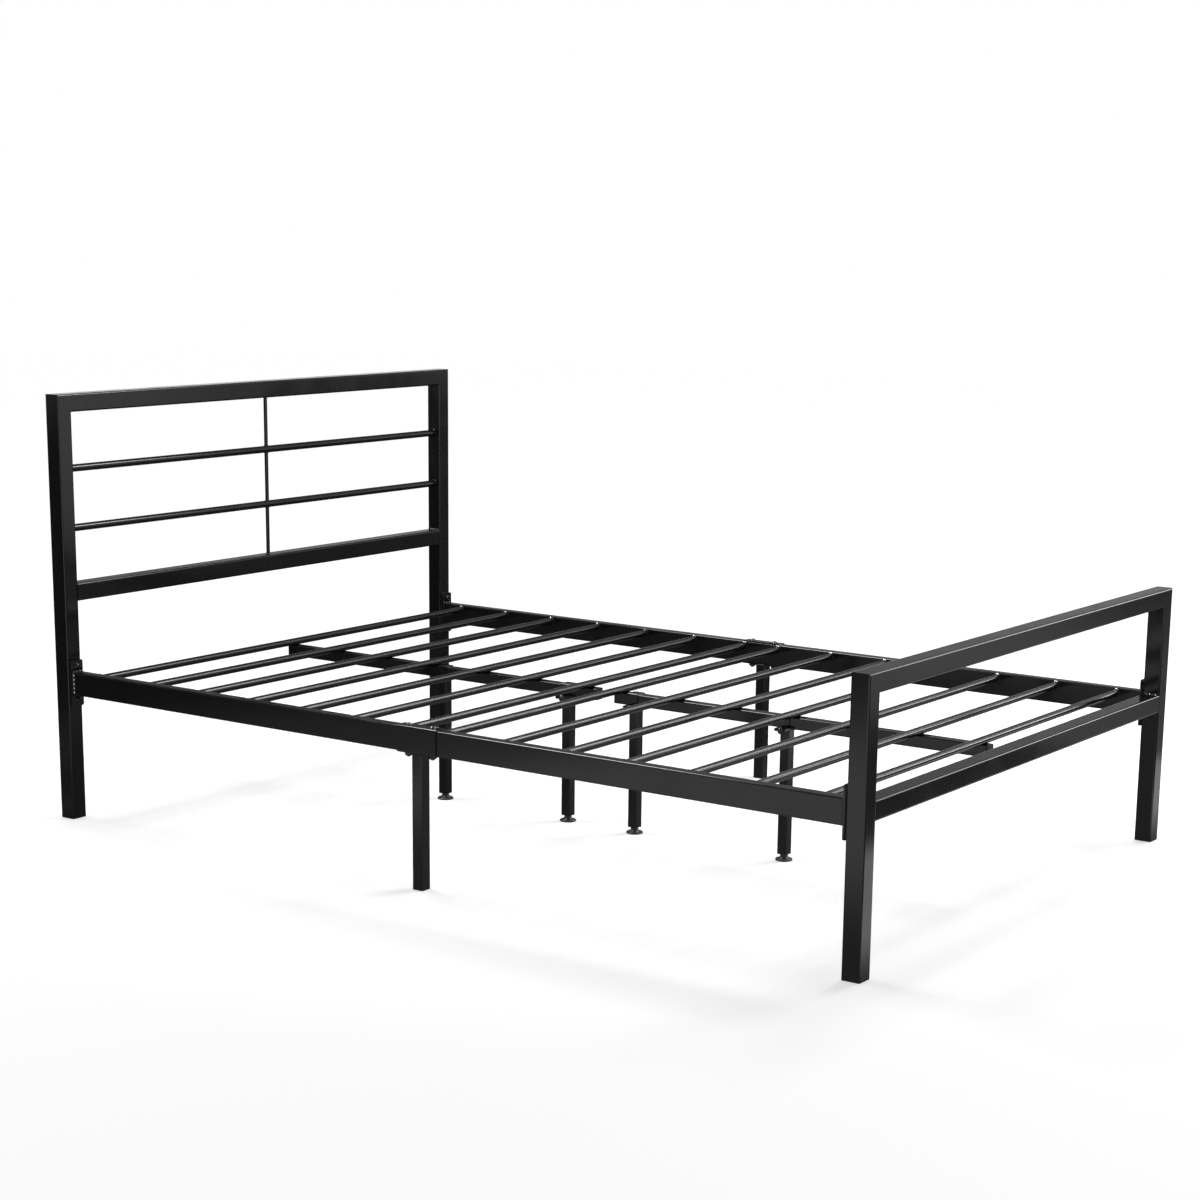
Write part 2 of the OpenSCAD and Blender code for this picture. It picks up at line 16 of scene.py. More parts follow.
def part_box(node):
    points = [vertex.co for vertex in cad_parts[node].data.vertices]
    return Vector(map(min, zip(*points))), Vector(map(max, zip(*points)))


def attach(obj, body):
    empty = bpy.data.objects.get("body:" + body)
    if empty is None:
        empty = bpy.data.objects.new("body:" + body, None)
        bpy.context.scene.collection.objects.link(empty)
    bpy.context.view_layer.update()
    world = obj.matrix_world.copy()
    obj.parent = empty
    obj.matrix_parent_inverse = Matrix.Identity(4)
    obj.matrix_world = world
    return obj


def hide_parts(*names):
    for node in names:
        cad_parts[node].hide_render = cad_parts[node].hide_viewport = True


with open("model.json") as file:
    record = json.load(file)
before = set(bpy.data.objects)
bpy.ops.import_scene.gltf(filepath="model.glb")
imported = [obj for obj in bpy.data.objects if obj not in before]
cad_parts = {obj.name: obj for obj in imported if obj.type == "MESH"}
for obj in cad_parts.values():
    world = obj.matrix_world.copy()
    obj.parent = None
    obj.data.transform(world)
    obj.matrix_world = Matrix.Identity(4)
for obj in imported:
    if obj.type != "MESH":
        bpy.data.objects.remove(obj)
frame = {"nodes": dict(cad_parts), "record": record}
bpy.context.view_layer.update()
MM = 0.001
FRAME = "frame"
scene = bpy.context.scene


# ---------------------------------------------------------------- small helpers

def linear(hex_colour):
    """sRGB hex to the linear RGBA that nodes and lamps take."""
    raw = [int(hex_colour[i:i + 2], 16) / 255 for i in (1, 3, 5)]
    return [c / 12.92 if c <= 0.04045 else ((c + 0.055) / 1.055) ** 2.4 for c in raw] + [1.0]


def put(tree, kind, inputs=None, **settings):
    """Adds one node with its settings; inputs are values, sockets, or nodes for their first output."""
    made = tree.nodes.new(kind)
    for name, value in settings.items():
        setattr(made, name, value)
    for key, value in (inputs or {}).items():
        if isinstance(value, bpy.types.Node):
            value = next(s for s in value.outputs if s.enabled)
        if isinstance(value, bpy.types.NodeSocket):
            tree.links.new(value, made.inputs[key])
        else:
            made.inputs[key].default_value = value
    return made


def geometry_tree(name, sizes):
    """An empty Geometry Nodes tree with named inputs: (tree, group input, output node)."""
    tree = bpy.data.node_groups.new(name, "GeometryNodeTree")
    tree.interface.new_socket("Geometry", in_out="INPUT", socket_type="NodeSocketGeometry")
    for label, kind, value in sizes:
        socket = tree.interface.new_socket(label, in_out="INPUT", socket_type=kind)
        if value is not None:
            socket.default_value = value
    tree.interface.new_socket("Geometry", in_out="OUTPUT", socket_type="NodeSocketGeometry")
    return tree, tree.nodes.new("NodeGroupInput").outputs, tree.nodes.new("NodeGroupOutput")


def close_tree(tree, out, geometry, material):
    """Ends a tree with Realize Instances and the material."""
    real = put(tree, "GeometryNodeRealizeInstances", {"Geometry": geometry})
    coated = put(tree, "GeometryNodeSetMaterial", {"Geometry": real, "Material": material})
    tree.links.new(coated.outputs[0], out.inputs[0])


def grow(name, source, tree, sizes, body, stands_for=()):
    """Runs a tree on a source object, keeps the plain mesh it gives, and lets it ride on a body."""
    modifier = source.modifiers.new(tree.name, "NODES")
    modifier.node_group = tree
    identifiers = {s.name: s.identifier for s in tree.interface.items_tree if s.in_out == "INPUT"}
    for label, value in sizes.items():
        modifier[identifiers[label]] = value
    bpy.context.view_layer.update()
    graph = bpy.context.evaluated_depsgraph_get()
    mesh = bpy.data.meshes.new_from_object(source.evaluated_get(graph), depsgraph=graph)
    source.modifiers.remove(modifier)
    bpy.data.objects.remove(source)
    mesh.name = name
    settle(name, mesh, body, stands_for)


def settle(name, mesh, body, stands_for=()):
    """A finished mesh becomes a piece at the origin that rides on its body."""
    piece = bpy.data.objects.new(name, mesh)
    scene.collection.objects.link(piece)
    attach(piece, body)
    if stands_for:
        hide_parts(*stands_for)


def paths(name, lines):
    """A curve object of straight-sided splines; lines holds (points, closed)."""
    data = bpy.data.curves.new(name, "CURVE")
    data.dimensions = "3D"
    for points, closed in lines:
        spline = data.splines.new("POLY")
        spline.points.add(len(points) - 1)
        for knot, point in zip(spline.points, points):
            knot.co = (*point, 1.0)
        spline.use_cyclic_u = closed
    source = bpy.data.objects.new(name + "_paths", data)
    scene.collection.objects.link(source)
    return source


def spots(name, places):
    """A mesh of loose points; places holds (point, axis) and the axis is kept on the point."""
    mesh = bpy.data.meshes.new(name + "_spots")
    mesh.from_pydata([tuple(p) for p, _ in places], [], [])
    kept = mesh.attributes.new("axis", "FLOAT_VECTOR", "POINT")
    for row, (_, axis) in zip(kept.data, places):
        row.vector = axis
    source = bpy.data.objects.new(name + "_spots", mesh)
    scene.collection.objects.link(source)
    return source


def loop(u0, u1, v0, v1, r, place, step=4):
    """Closed outline of a rectangle with round corners; place(u, v) gives the point in space."""
    corners = ((u1 - r, v1 - r, 0), (u0 + r, v1 - r, 90), (u0 + r, v0 + r, 180), (u1 - r, v0 + r, 270))
    points = []
    for cu, cv, start in corners:
        for k in range(step + 1):
            a = math.radians(start + 90 * k / step)
            points.append(place(cu + r * math.cos(a), cv + r * math.sin(a)))
    return points


def arc(centre, u, v, radius, start, end, count=24):
    """Points of an arc in the plane of the unit vectors u and v, angles in degrees."""
    centre, u, v = Vector(centre), Vector(u), Vector(v)
    out = []
    for k in range(count + 1):
        a = math.radians(start + (end - start) * k / count)
        out.append(centre + radius * (math.cos(a) * u + math.sin(a) * v))
    return out


def hoop(centre, u, v, radius):
    """A closed line round a tube, as (points, closed); the curve itself closes the last gap."""
    return arc(centre, u, v, radius, 0, 345), True


# ---------------------------------------------------------------- camera

def place_camera():
    """Stands the camera at the foot end, left of the bed, at eye height of a seated person."""
    stand = Vector((-4.2624, -3.0062, 1.2977))
    yaw, pitch, roll = -0.9734, -0.2267, 0.0151
    ahead = Vector((-math.cos(pitch) * math.sin(yaw), math.cos(pitch) * math.cos(yaw), math.sin(pitch)))
    level = ahead.cross(Vector((0, 0, 1))).normalized()
    above = level.cross(ahead)
    right = math.cos(roll) * level + math.sin(roll) * above
    up = -math.sin(roll) * level + math.cos(roll) * above
    data = bpy.data.cameras.new("camera")
    data.sensor_width = 36
    data.lens = 74.11
    data.shift_x, data.shift_y = -0.04, 0.155
    data.clip_start, data.clip_end = 0.05, 60
    camera = bpy.data.objects.new("camera", data)
    scene.collection.objects.link(camera)
    turn = Matrix((right, up, -ahead)).transposed().to_4x4()
    camera.matrix_world = Matrix.Translation(stand) @ turn
    scene.camera = camera


place_camera()


# ---------------------------------------------------------------- materials

def surface(name):
    """A new material: (tree, shader, object coordinates, material)."""
    material = bpy.data.materials.new(name)
    material.use_nodes = True
    tree = material.node_tree
    where = put(tree, "ShaderNodeTexCoord").outputs["Object"]
    return tree, tree.nodes["Principled BSDF"], where, material


def powder_coat(name, colour, gloss, peel):
    """Polyester powder baked on steel tube: a deep black with a slight orange peel.

    The peel of the real coat is about 1.5 mm across; it is drawn at 3 mm so that it shows. The long
    waves are the drawn tube itself. Handling dulls broad patches, and a little dust lies on top.
    """
    handled, dusty, peel_wide, wave_long = 90 * MM, 7 * MM, 3 * MM, 35 * MM
    dust_grey = linear("#1c1d1e")
    tree, shader, where, material = surface(name)
    patches = put(tree, "ShaderNodeTexNoise", {"Vector": where, "Scale": 1 / handled, "Detail": 3.0})
    dull = put(tree, "ShaderNodeMapRange", {"Value": patches, "From Min": 0.3, "From Max": 0.7,
                                            "To Min": gloss - 0.03, "To Max": gloss + 0.05})
    specks = put(tree, "ShaderNodeTexNoise", {"Vector": where, "Scale": 1 / dusty, "Detail": 2.0})
    some = put(tree, "ShaderNodeMapRange", {"Value": specks, "From Min": 0.35, "From Max": 0.75})
    normal = put(tree, "ShaderNodeSeparateXYZ", {0: put(tree, "ShaderNodeNewGeometry").outputs["Normal"]})
    upward = put(tree, "ShaderNodeMapRange", {"Value": normal.outputs["Z"], "From Min": 0.5, "To Max": 0.5})
    dust = put(tree, "ShaderNodeMath", {0: upward, 1: some}, operation="MULTIPLY")
    tint = put(tree, "ShaderNodeMix", {"Factor": dust, "A": linear(colour), "B": dust_grey}, data_type="RGBA")
    lumps = put(tree, "ShaderNodeTexNoise", {"Vector": where, "Scale": 1 / peel_wide, "Detail": 1.0})
    waves = put(tree, "ShaderNodeTexNoise", {"Vector": where, "Scale": 1 / wave_long, "Detail": 1.0})
    peeled = put(tree, "ShaderNodeBump", {"Height": lumps, "Distance": peel * MM})
    wavy = put(tree, "ShaderNodeBump", {"Height": waves, "Distance": 6 * peel * MM, "Normal": peeled})
    tree.links.new(dull.outputs["Result"], shader.inputs["Roughness"])
    tree.links.new(tint.outputs["Result"], shader.inputs["Base Color"])
    tree.links.new(wavy.outputs["Normal"], shader.inputs["Normal"])
    shader.inputs["IOR"].default_value = 1.48
    return material


def plated(name, dark, pale, matt, bright, patch_mm):
    """Zinc-plated steel: cloudy between two greys, and smoother where a tool or a nut has rubbed it.

    The grit of the real plating is far finer; it is drawn at 0.6 mm so that it shows.
    """
    grit_wide, grit_deep = 0.6 * MM, 0.004 * MM
    tree, shader, where, material = surface(name)
    cloud = put(tree, "ShaderNodeTexNoise", {"Vector": where, "Scale": 1 / (patch_mm * MM), "Detail": 3.0})
    rub = put(tree, "ShaderNodeMapRange", {"Value": cloud, "From Min": 0.35, "From Max": 0.7})
    tint = put(tree, "ShaderNodeMix", {"Factor": rub, "A": linear(dark), "B": linear(pale)}, data_type="RGBA")
    sheen = put(tree, "ShaderNodeMapRange", {"Value": rub, "To Min": matt, "To Max": bright})
    grit = put(tree, "ShaderNodeTexNoise", {"Vector": where, "Scale": 1 / grit_wide, "Detail": 2.0})
    grain = put(tree, "ShaderNodeBump", {"Height": grit, "Distance": grit_deep})
    tree.links.new(tint.outputs["Result"], shader.inputs["Base Color"])
    tree.links.new(sheen.outputs["Result"], shader.inputs["Roughness"])
    tree.links.new(grain.outputs["Normal"], shader.inputs["Normal"])
    shader.inputs["Metallic"].default_value = 1.0
    return material


def moulded(name, dark, pale, rough, grain_mm, grain_deep, index):
    """Moulded plastic or rubber: one body colour, a faint flow pattern, and the grain of the mould."""
    flow_wide = 12 * MM
    tree, shader, where, material = surface(name)
    flow = put(tree, "ShaderNodeTexNoise", {"Vector": where, "Scale": 1 / flow_wide, "Detail": 2.0})
    share = put(tree, "ShaderNodeMapRange", {"Value": flow, "From Min": 0.3, "From Max": 0.7})
    tint = put(tree, "ShaderNodeMix", {"Factor": share, "A": linear(dark), "B": linear(pale)},
               data_type="RGBA")
    sheen = put(tree, "ShaderNodeMapRange", {"Value": share, "To Min": rough - 0.04, "To Max": rough + 0.05})
    mould = put(tree, "ShaderNodeTexNoise", {"Vector": where, "Scale": 1 / (grain_mm * MM), "Detail": 2.0})
    grain = put(tree, "ShaderNodeBump", {"Height": mould, "Distance": grain_deep * MM})
    tree.links.new(tint.outputs["Result"], shader.inputs["Base Color"])
    tree.links.new(sheen.outputs["Result"], shader.inputs["Roughness"])
    tree.links.new(grain.outputs["Normal"], shader.inputs["Normal"])
    shader.inputs["IOR"].default_value = index
    return material


# The flat faces of the tubes come out of the oven glossy: black, with sharp pale reflections.
COAT = powder_coat("gloss_powder_coat", "#111213", 0.12, 0.0025)
# On the round slats the powder flows less, and the highlight along them is broader and softer.
SLAT_COAT = powder_coat("satin_powder_coat", "#111213", 0.2, 0.0025)
# The powder lies rougher over the beads, so they glitter a little.
WELD_COAT = powder_coat("powder_coat_over_weld", "#131415", 0.12, 0.02)
# The crests of the thickest beads are drawn in pale bright steel: a painted glint where the lamps catch them.
PAINTED_GLINT_STEEL = plated("pale_steel_as_painted_glint", "#a9aaac", "#dcdddf", 0.22, 0.1, 6)
# The bolts, washers and nuts are a dark, cloudy grey metal, a shade lighter than the coat.
BOLT_STEEL = plated("black_zinc_steel", "#2c2d2f", "#58595b", 0.26, 0.14, 4)
# The screws of the glides are pale and a little dull.
THREAD_STEEL = plated("bright_zinc_steel", "#a9adb1", "#c9ccce", 0.42, 0.28, 5)
# Rubber is the dullest black of the bed, the plugs are a satin black, and the glides a dark grey.
PAD_RUBBER = moulded("moulded_black_rubber", "#0f0f0f", "#161616", 0.72, 0.8, 0.02, 1.52)
PLUG_PLASTIC = moulded("moulded_black_polyethylene", "#121213", "#18181a", 0.46, 0.7, 0.012, 1.51)
GLIDE_PLASTIC = moulded("moulded_grey_nylon", "#38393b", "#434446", 0.3, 2.5, 0.006, 1.53)

SLOT_MATERIAL = {
    "black_powder_coat": COAT,
    "black_fasteners": BOLT_STEEL,
    "zinc_steel": THREAD_STEEL,
    "rubber_pad": PAD_RUBBER,
    "black_plug_plastic": PLUG_PLASTIC,
    "black_glide_plastic": GLIDE_PLASTIC,
}
# Every solid that stays in sight wears the finish of its own slot in the record.
SLOT_OF = {part["node"]: part["material_slot"] for part in frame["record"]["subparts"]}
for node_name, solid in frame["nodes"].items():
    solid.data.materials.clear()
    solid.data.materials.append(SLOT_MATERIAL[SLOT_OF[node_name]])


# ---------------------------------------------------------------- trees

def weld_tree():
    """A weld bead that follows a curve: a round rope with ripples, swollen and thinned at random."""
    tree, given, out = geometry_tree("weld_bead", [
        ("Bead Width", "NodeSocketFloat", 0.005), ("Ripple Pitch", "NodeSocketFloat", 0.004),
        ("Ripple Depth", "NodeSocketFloat", 0.15), ("Unevenness", "NodeSocketFloat", 0.3),
        ("Seed", "NodeSocketFloat", 1.0), ("Material", "NodeSocketMaterial", None)])
    steps_a_ripple, lumps_a_metre, thin_end = 5.0, 170.0, 0.45
    step = put(tree, "ShaderNodeMath", {0: given["Ripple Pitch"], 1: steps_a_ripple}, operation="DIVIDE")
    line = put(tree, "GeometryNodeResampleCurve", {"Curve": given["Geometry"], "Length": step}, mode="LENGTH")
    along = put(tree, "GeometryNodeSplineParameter").outputs["Length"]
    turns = put(tree, "ShaderNodeMath", {0: along, 1: given["Ripple Pitch"]}, operation="DIVIDE")
    phase = put(tree, "ShaderNodeMath", {0: turns, 1: 2 * math.pi}, operation="MULTIPLY")
    wave = put(tree, "ShaderNodeMath", {0: phase}, operation="SINE")
    ripple = put(tree, "ShaderNodeMath", {0: wave, 1: given["Ripple Depth"], 2: 1.0},
                 operation="MULTIPLY_ADD")
    place = put(tree, "GeometryNodeInputPosition")
    lumps = put(tree, "ShaderNodeTexNoise", {"Vector": place, "W": given["Seed"], "Scale": lumps_a_metre,
                                             "Detail": 1.0}, noise_dimensions="4D")
    swing = put(tree, "ShaderNodeMath", {0: lumps, 1: 0.5}, operation="SUBTRACT")
    uneven = put(tree, "ShaderNodeMath", {0: swing, 1: given["Unevenness"], 2: ripple},
                 operation="MULTIPLY_ADD")
    whole = put(tree, "GeometryNodeSplineLength").outputs["Length"]
    rest = put(tree, "ShaderNodeMath", {0: whole, 1: along}, operation="SUBTRACT")
    nearest = put(tree, "ShaderNodeMath", {0: along, 1: rest}, operation="MINIMUM")
    taper = put(tree, "ShaderNodeMapRange", {"Value": nearest, "From Min": 0.0,
                                             "From Max": given["Bead Width"], "To Min": thin_end,
                                             "To Max": 1.0})
    closed = put(tree, "GeometryNodeInputSplineCyclic")
    ends = put(tree, "GeometryNodeSwitch", {"Switch": closed, "False": taper, "True": 1.0},
               input_type="FLOAT")
    thick = put(tree, "ShaderNodeMath", {0: uneven, 1: ends}, operation="MULTIPLY")
    half = put(tree, "ShaderNodeMath", {0: given["Bead Width"], 1: 0.5}, operation="MULTIPLY")
    section = put(tree, "GeometryNodeCurvePrimitiveCircle", {"Resolution": 10, "Radius": half})
    rope = put(tree, "GeometryNodeCurveToMesh", {"Curve": line, "Profile Curve": section, "Scale": thick,
                                                 "Fill Caps": True})
    smooth = put(tree, "GeometryNodeSetShadeSmooth", {"Geometry": rope, "Shade Smooth": True})
    close_tree(tree, out, smooth, given["Material"])
    return tree


def slat_tree():
    """A row of equal round tubes across the bed, from the first axis at an even pitch.

    Each tube is its flat wall section turned round the slat's axis, so its sawn ends are closed. Only
    the edges of those ends turn by more than a radian, and they stay crisp.
    """
    tree, given, out = geometry_tree("slat_row", [
        ("Count", "NodeSocketInt", 7), ("First", "NodeSocketVector", None),
        ("Pitch", "NodeSocketVector", None), ("Length", "NodeSocketFloat", 1.2),
        ("Diameter", "NodeSocketFloat", 0.016), ("Wall", "NodeSocketFloat", 0.0012),
        ("Material", "NodeSocketMaterial", None)])
    row = put(tree, "GeometryNodeMeshLine", {"Count": given["Count"], "Start Location": given["First"],
                                             "Offset": given["Pitch"]})
    across = put(tree, "ShaderNodeMath", {0: given["Diameter"], 1: given["Wall"]}, operation="SUBTRACT")
    mid_wall = put(tree, "ShaderNodeMath", {0: across, 1: 0.5}, operation="MULTIPLY")
    ring = put(tree, "GeometryNodeCurvePrimitiveCircle", {"Resolution": 48, "Radius": mid_wall})
    section = put(tree, "GeometryNodeCurvePrimitiveQuadrilateral", {"Width": given["Wall"],
                                                                    "Height": given["Length"]})
    tube = put(tree, "GeometryNodeCurveToMesh", {"Curve": ring, "Profile Curve": section})
    smooth = put(tree, "GeometryNodeSetShadeSmooth", {"Geometry": tube, "Shade Smooth": True})
    bend = put(tree, "GeometryNodeInputMeshEdgeAngle").outputs["Unsigned Angle"]
    sawn = put(tree, "ShaderNodeMath", {0: bend, 1: 1.0}, operation="GREATER_THAN")
    crisp = put(tree, "GeometryNodeSetShadeSmooth", {"Geometry": smooth, "Selection": sawn,
                                                     "Shade Smooth": False}, domain="EDGE")
    laid = put(tree, "GeometryNodeTransform", {"Geometry": crisp, "Rotation": (0, math.pi / 2, 0)})
    placed = put(tree, "GeometryNodeInstanceOnPoints", {"Points": row, "Instance": laid})
    close_tree(tree, out, placed, given["Material"])
    return tree


def fastener_tree():
    """Copies of one fastener on points, each turned to the point's axis and spun by its own angle."""
    tree, given, out = geometry_tree("fastener_set", [
        ("Fastener", "NodeSocketObject", None), ("Spin", "NodeSocketFloat", 6.28),
        ("Seed", "NodeSocketInt", 1), ("Material", "NodeSocketMaterial", None)])
    part = put(tree, "GeometryNodeObjectInfo", {"Object": given["Fastener"]}).outputs["Geometry"]
    axis = put(tree, "GeometryNodeInputNamedAttribute", {"Name": "axis"}, data_type="FLOAT_VECTOR")
    turn = put(tree, "FunctionNodeAlignRotationToVector", {"Vector": axis}, axis="Z")
    angle = put(tree, "FunctionNodeRandomValue", {2: 0.0, 3: given["Spin"], "Seed": given["Seed"]},
                data_type="FLOAT")
    spin = put(tree, "FunctionNodeAxisAngleToRotation", {"Axis": (0, 0, 1), "Angle": angle.outputs[1]})
    both = put(tree, "FunctionNodeRotateRotation", {"Rotation": turn, "Rotate By": spin},
               rotation_space="LOCAL")
    placed = put(tree, "GeometryNodeInstanceOnPoints", {"Points": given["Geometry"], "Instance": part,
                                                        "Rotation": both})
    close_tree(tree, out, placed, given["Material"])
    return tree


def thread_tree():
    """A screw thread: a core with one ridge wound round it at the thread's pitch."""
    tree, given, out = geometry_tree("screw_thread", [
        ("Diameter", "NodeSocketFloat", 0.008), ("Pitch", "NodeSocketFloat", 0.00125),
        ("Length", "NodeSocketFloat", 0.04), ("Base", "NodeSocketVector", None),
        ("Material", "NodeSocketMaterial", None)])
    ridge_deep, ridge_share = 0.56, 0.98
    deep = put(tree, "ShaderNodeMath", {0: given["Pitch"], 1: ridge_deep}, operation="MULTIPLY")
    radius = put(tree, "ShaderNodeMath", {0: given["Diameter"], 1: 0.5}, operation="MULTIPLY")
    root = put(tree, "ShaderNodeMath", {0: radius, 1: deep}, operation="SUBTRACT")
    ridge_long = put(tree, "ShaderNodeMath", {0: given["Length"], 1: given["Pitch"]}, operation="SUBTRACT")
    turns = put(tree, "ShaderNodeMath", {0: ridge_long, 1: given["Pitch"]}, operation="DIVIDE")
    helix = put(tree, "GeometryNodeCurveSpiral", {"Resolution": 24, "Rotations": turns, "Start Radius": root,
                                                  "End Radius": root, "Height": ridge_long})
    ridge_size = put(tree, "ShaderNodeMath", {0: deep, 1: ridge_share}, operation="MULTIPLY")
    section = put(tree, "GeometryNodeCurvePrimitiveCircle", {"Resolution": 4, "Radius": ridge_size})
    ridge = put(tree, "GeometryNodeCurveToMesh", {"Curve": helix, "Profile Curve": section,
                                                  "Fill Caps": True})
    half_pitch = put(tree, "ShaderNodeMath", {0: given["Pitch"], 1: 0.5}, operation="MULTIPLY")
    lift = put(tree, "ShaderNodeCombineXYZ", {"Z": half_pitch})
    raised = put(tree, "GeometryNodeTransform", {"Geometry": ridge, "Translation": lift})
    core = put(tree, "GeometryNodeMeshCylinder", {"Vertices": 24, "Radius": root, "Depth": given["Length"]})
    half_long = put(tree, "ShaderNodeMath", {0: given["Length"], 1: 0.5}, operation="MULTIPLY")
    up = put(tree, "ShaderNodeCombineXYZ", {"Z": half_long})
    stood = put(tree, "GeometryNodeTransform", {"Geometry": core, "Translation": up})
    both = put(tree, "GeometryNodeJoinGeometry", {"Geometry": raised})
    tree.links.new(stood.outputs[0], both.inputs[0])
    placed = put(tree, "GeometryNodeTransform", {"Geometry": both, "Translation": given["Base"]})
    close_tree(tree, out, placed, given["Material"])
    return tree


WELD = weld_tree()
SLATS = slat_tree()
FASTENERS = fastener_tree()
THREAD = thread_tree()


# ---------------------------------------------------------------- planes read from the solids

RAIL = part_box("side_rail_head_left")
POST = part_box("head_post_left")
HEAD_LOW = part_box("head_lower_rail")
FOOT_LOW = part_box("foot_lower_rail")
HEAD_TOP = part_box("head_top_rail")
FOOT_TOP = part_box("foot_top_rail")
SLAT_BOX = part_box("slats_head_half")
SLAT_SIZE = SLAT_BOX[1].z - SLAT_BOX[0].z
SLAT_Z = (SLAT_BOX[1].z + SLAT_BOX[0].z) / 2
FIRST_SLAT = SLAT_BOX[0].y + SLAT_SIZE / 2
SLATS_PER_HALF = 7
SLAT_WALL = 1.2 * MM
SLAT_PITCH = (SLAT_BOX[1].y - SLAT_BOX[0].y - SLAT_SIZE) / (SLATS_PER_HALF - 1)
SLAT_HALF_LONG = SLAT_BOX[1].x
SLAT_YS = [FIRST_SLAT + i * SLAT_PITCH for i in range(SLATS_PER_HALF)]
POST_Y = (POST[0].y + POST[1].y) / 2
INNER_X = -POST[1].x


# ---------------------------------------------------------------- slats

def slats():
    """Two rows of seven tubes, one row for each half of the bed."""
    for name, sign, stood in (("slat_row_head", 1, "slats_head_half"),
                              ("slat_row_foot", -1, "slats_foot_half")):
        first = (0.0, sign * FIRST_SLAT, SLAT_Z)
        pitch = (0.0, sign * SLAT_PITCH, 0.0)
        grow(name, spots(name, []), SLATS, {
            "Count": SLATS_PER_HALF, "First": first, "Pitch": pitch, "Length": 2 * SLAT_HALF_LONG,
            "Diameter": SLAT_SIZE, "Wall": SLAT_WALL, "Material": SLAT_COAT},
            FRAME, (stood,))


slats()


# ---------------------------------------------------------------- welds

def weld(name, lines, width, pitch, depth, uneven, seed, finish=WELD_COAT):
    """One set of equal weld beads, width and pitch in millimetres.

    They are coated with the frame unless another finish is given.
    """
    grow(name, paths(name, lines), WELD, {
        "Bead Width": width * MM, "Ripple Pitch": pitch * MM, "Ripple Depth": depth,
        "Unevenness": uneven, "Seed": float(seed), "Material": finish}, FRAME)


def four_ways(points):
    """The same line mirrored to the four quarters of the bed."""
    return [[Vector((sx * p.x, sy * p.y, p.z)) for p in points] for sx in (1, -1) for sy in (1, -1)]


def rail_end_welds():
    """Heavy bead all round each side rail where it meets its corner plate.

    On the outer face at the head end it is a row of separate stitches. They are drawn in pale bright steel, a
    painted glint where the lamps catch their crests.
    """
    low, high = RAIL
    corner_r = 2.5 * MM
    line = loop(low.x, high.x, low.z, high.z, corner_r, lambda u, v: Vector((u, high.y, v)))
    weld("rail_end_welds", [(q, True) for q in four_ways(line)],
         width=6.5, pitch=8.5, depth=0.24, uneven=0.5, seed=3)
    stitch_x, stitch_y = low.x + 0.4 * MM, high.y - 2.4 * MM
    first, apart, half_long = 6.5, 9.2, 3.2
    stitches = []
    for k in range(5):
        z = low.z + (first + apart * k) * MM
        points = [Vector((stitch_x, stitch_y, z + part * MM)) for part in (-half_long, 0, half_long)]
        stitches += [(q, False) for q in four_ways(points) if q[0].y > 0]
    weld("rail_end_stitches", stitches, width=8.4, pitch=9.0, depth=0.1, uneven=0.3, seed=4,
         finish=PAINTED_GLINT_STEEL)


def slat_end_welds():
    """A thin bead round the end of every slat, and a round blob on its top where the welder starts."""
    across, up = (0, 1, 0), (0, 0, 1)
    ring_r, blob_r = SLAT_SIZE / 2 + 0.2 * MM, SLAT_SIZE / 2 + 0.6 * MM
    blob_back, blob_start, blob_end = 1.2 * MM, 70, 118
    rings, blobs = [], []
    for sx in (1, -1):
        for y in [s * v for v in SLAT_YS for s in (1, -1)]:
            centre = Vector((sx * SLAT_HALF_LONG, y, SLAT_Z))
            rings.append(hoop(centre, across, up, ring_r))
            top = centre - Vector((sx * blob_back, 0, 0))
            blobs.append((arc(top, across, up, blob_r, blob_start, blob_end, 8), False))
    weld("slat_end_welds", rings, width=3.6, pitch=4.5, depth=0.12, uneven=0.6, seed=11)
    # The blobs on top are drawn in pale bright steel: a painted glint where the lamps catch them.
    weld("slat_top_welds", blobs, width=7.6, pitch=7.5, depth=0.1, uneven=0.25, seed=12, finish=PAINTED_GLINT_STEEL)


def end_frame_welds():
    """Beads in the corners between posts and lower rails, and in the mitred top corners.

    At the foot end two short beads stand on the front of each, drawn in pale bright steel as a painted glint.
    """
    corner_r = 3.0 * MM
    lines = []
    for low, high, heights in ((*HEAD_LOW, (HEAD_LOW[1].z, HEAD_LOW[0].z)),
                               (*FOOT_LOW, (FOOT_LOW[1].z, FOOT_LOW[0].z)),
                               (*HEAD_TOP, (HEAD_TOP[0].z,)), (*FOOT_TOP, (FOOT_TOP[0].z,))):
        for sx in (1, -1):
            for z in heights:
                lines.append(([Vector((sx * INNER_X, y, z)) for y in (low.y + corner_r, high.y - corner_r)],
                              False))
    weld("end_frame_welds", lines, width=4.5, pitch=4.0, depth=0.14, uneven=0.5, seed=5)
    crest_x = INNER_X - 0.8 * MM
    crests = []
    for edge, z in ((FOOT_LOW[0].y, FOOT_LOW[1].z), (FOOT_TOP[0].y, FOOT_TOP[0].z)):
        for sx in (1, -1):
            for y, long in ((edge + 5 * MM, 5 * MM), (edge + 19 * MM, 3 * MM)):
                crests.append(([Vector((sx * crest_x, y + k * long / 2, z)) for k in range(3)], False))
    weld("end_frame_crests", crests, width=5.4, pitch=6.0, depth=0.1, uneven=0.4, seed=7,
         finish=PAINTED_GLINT_STEEL)


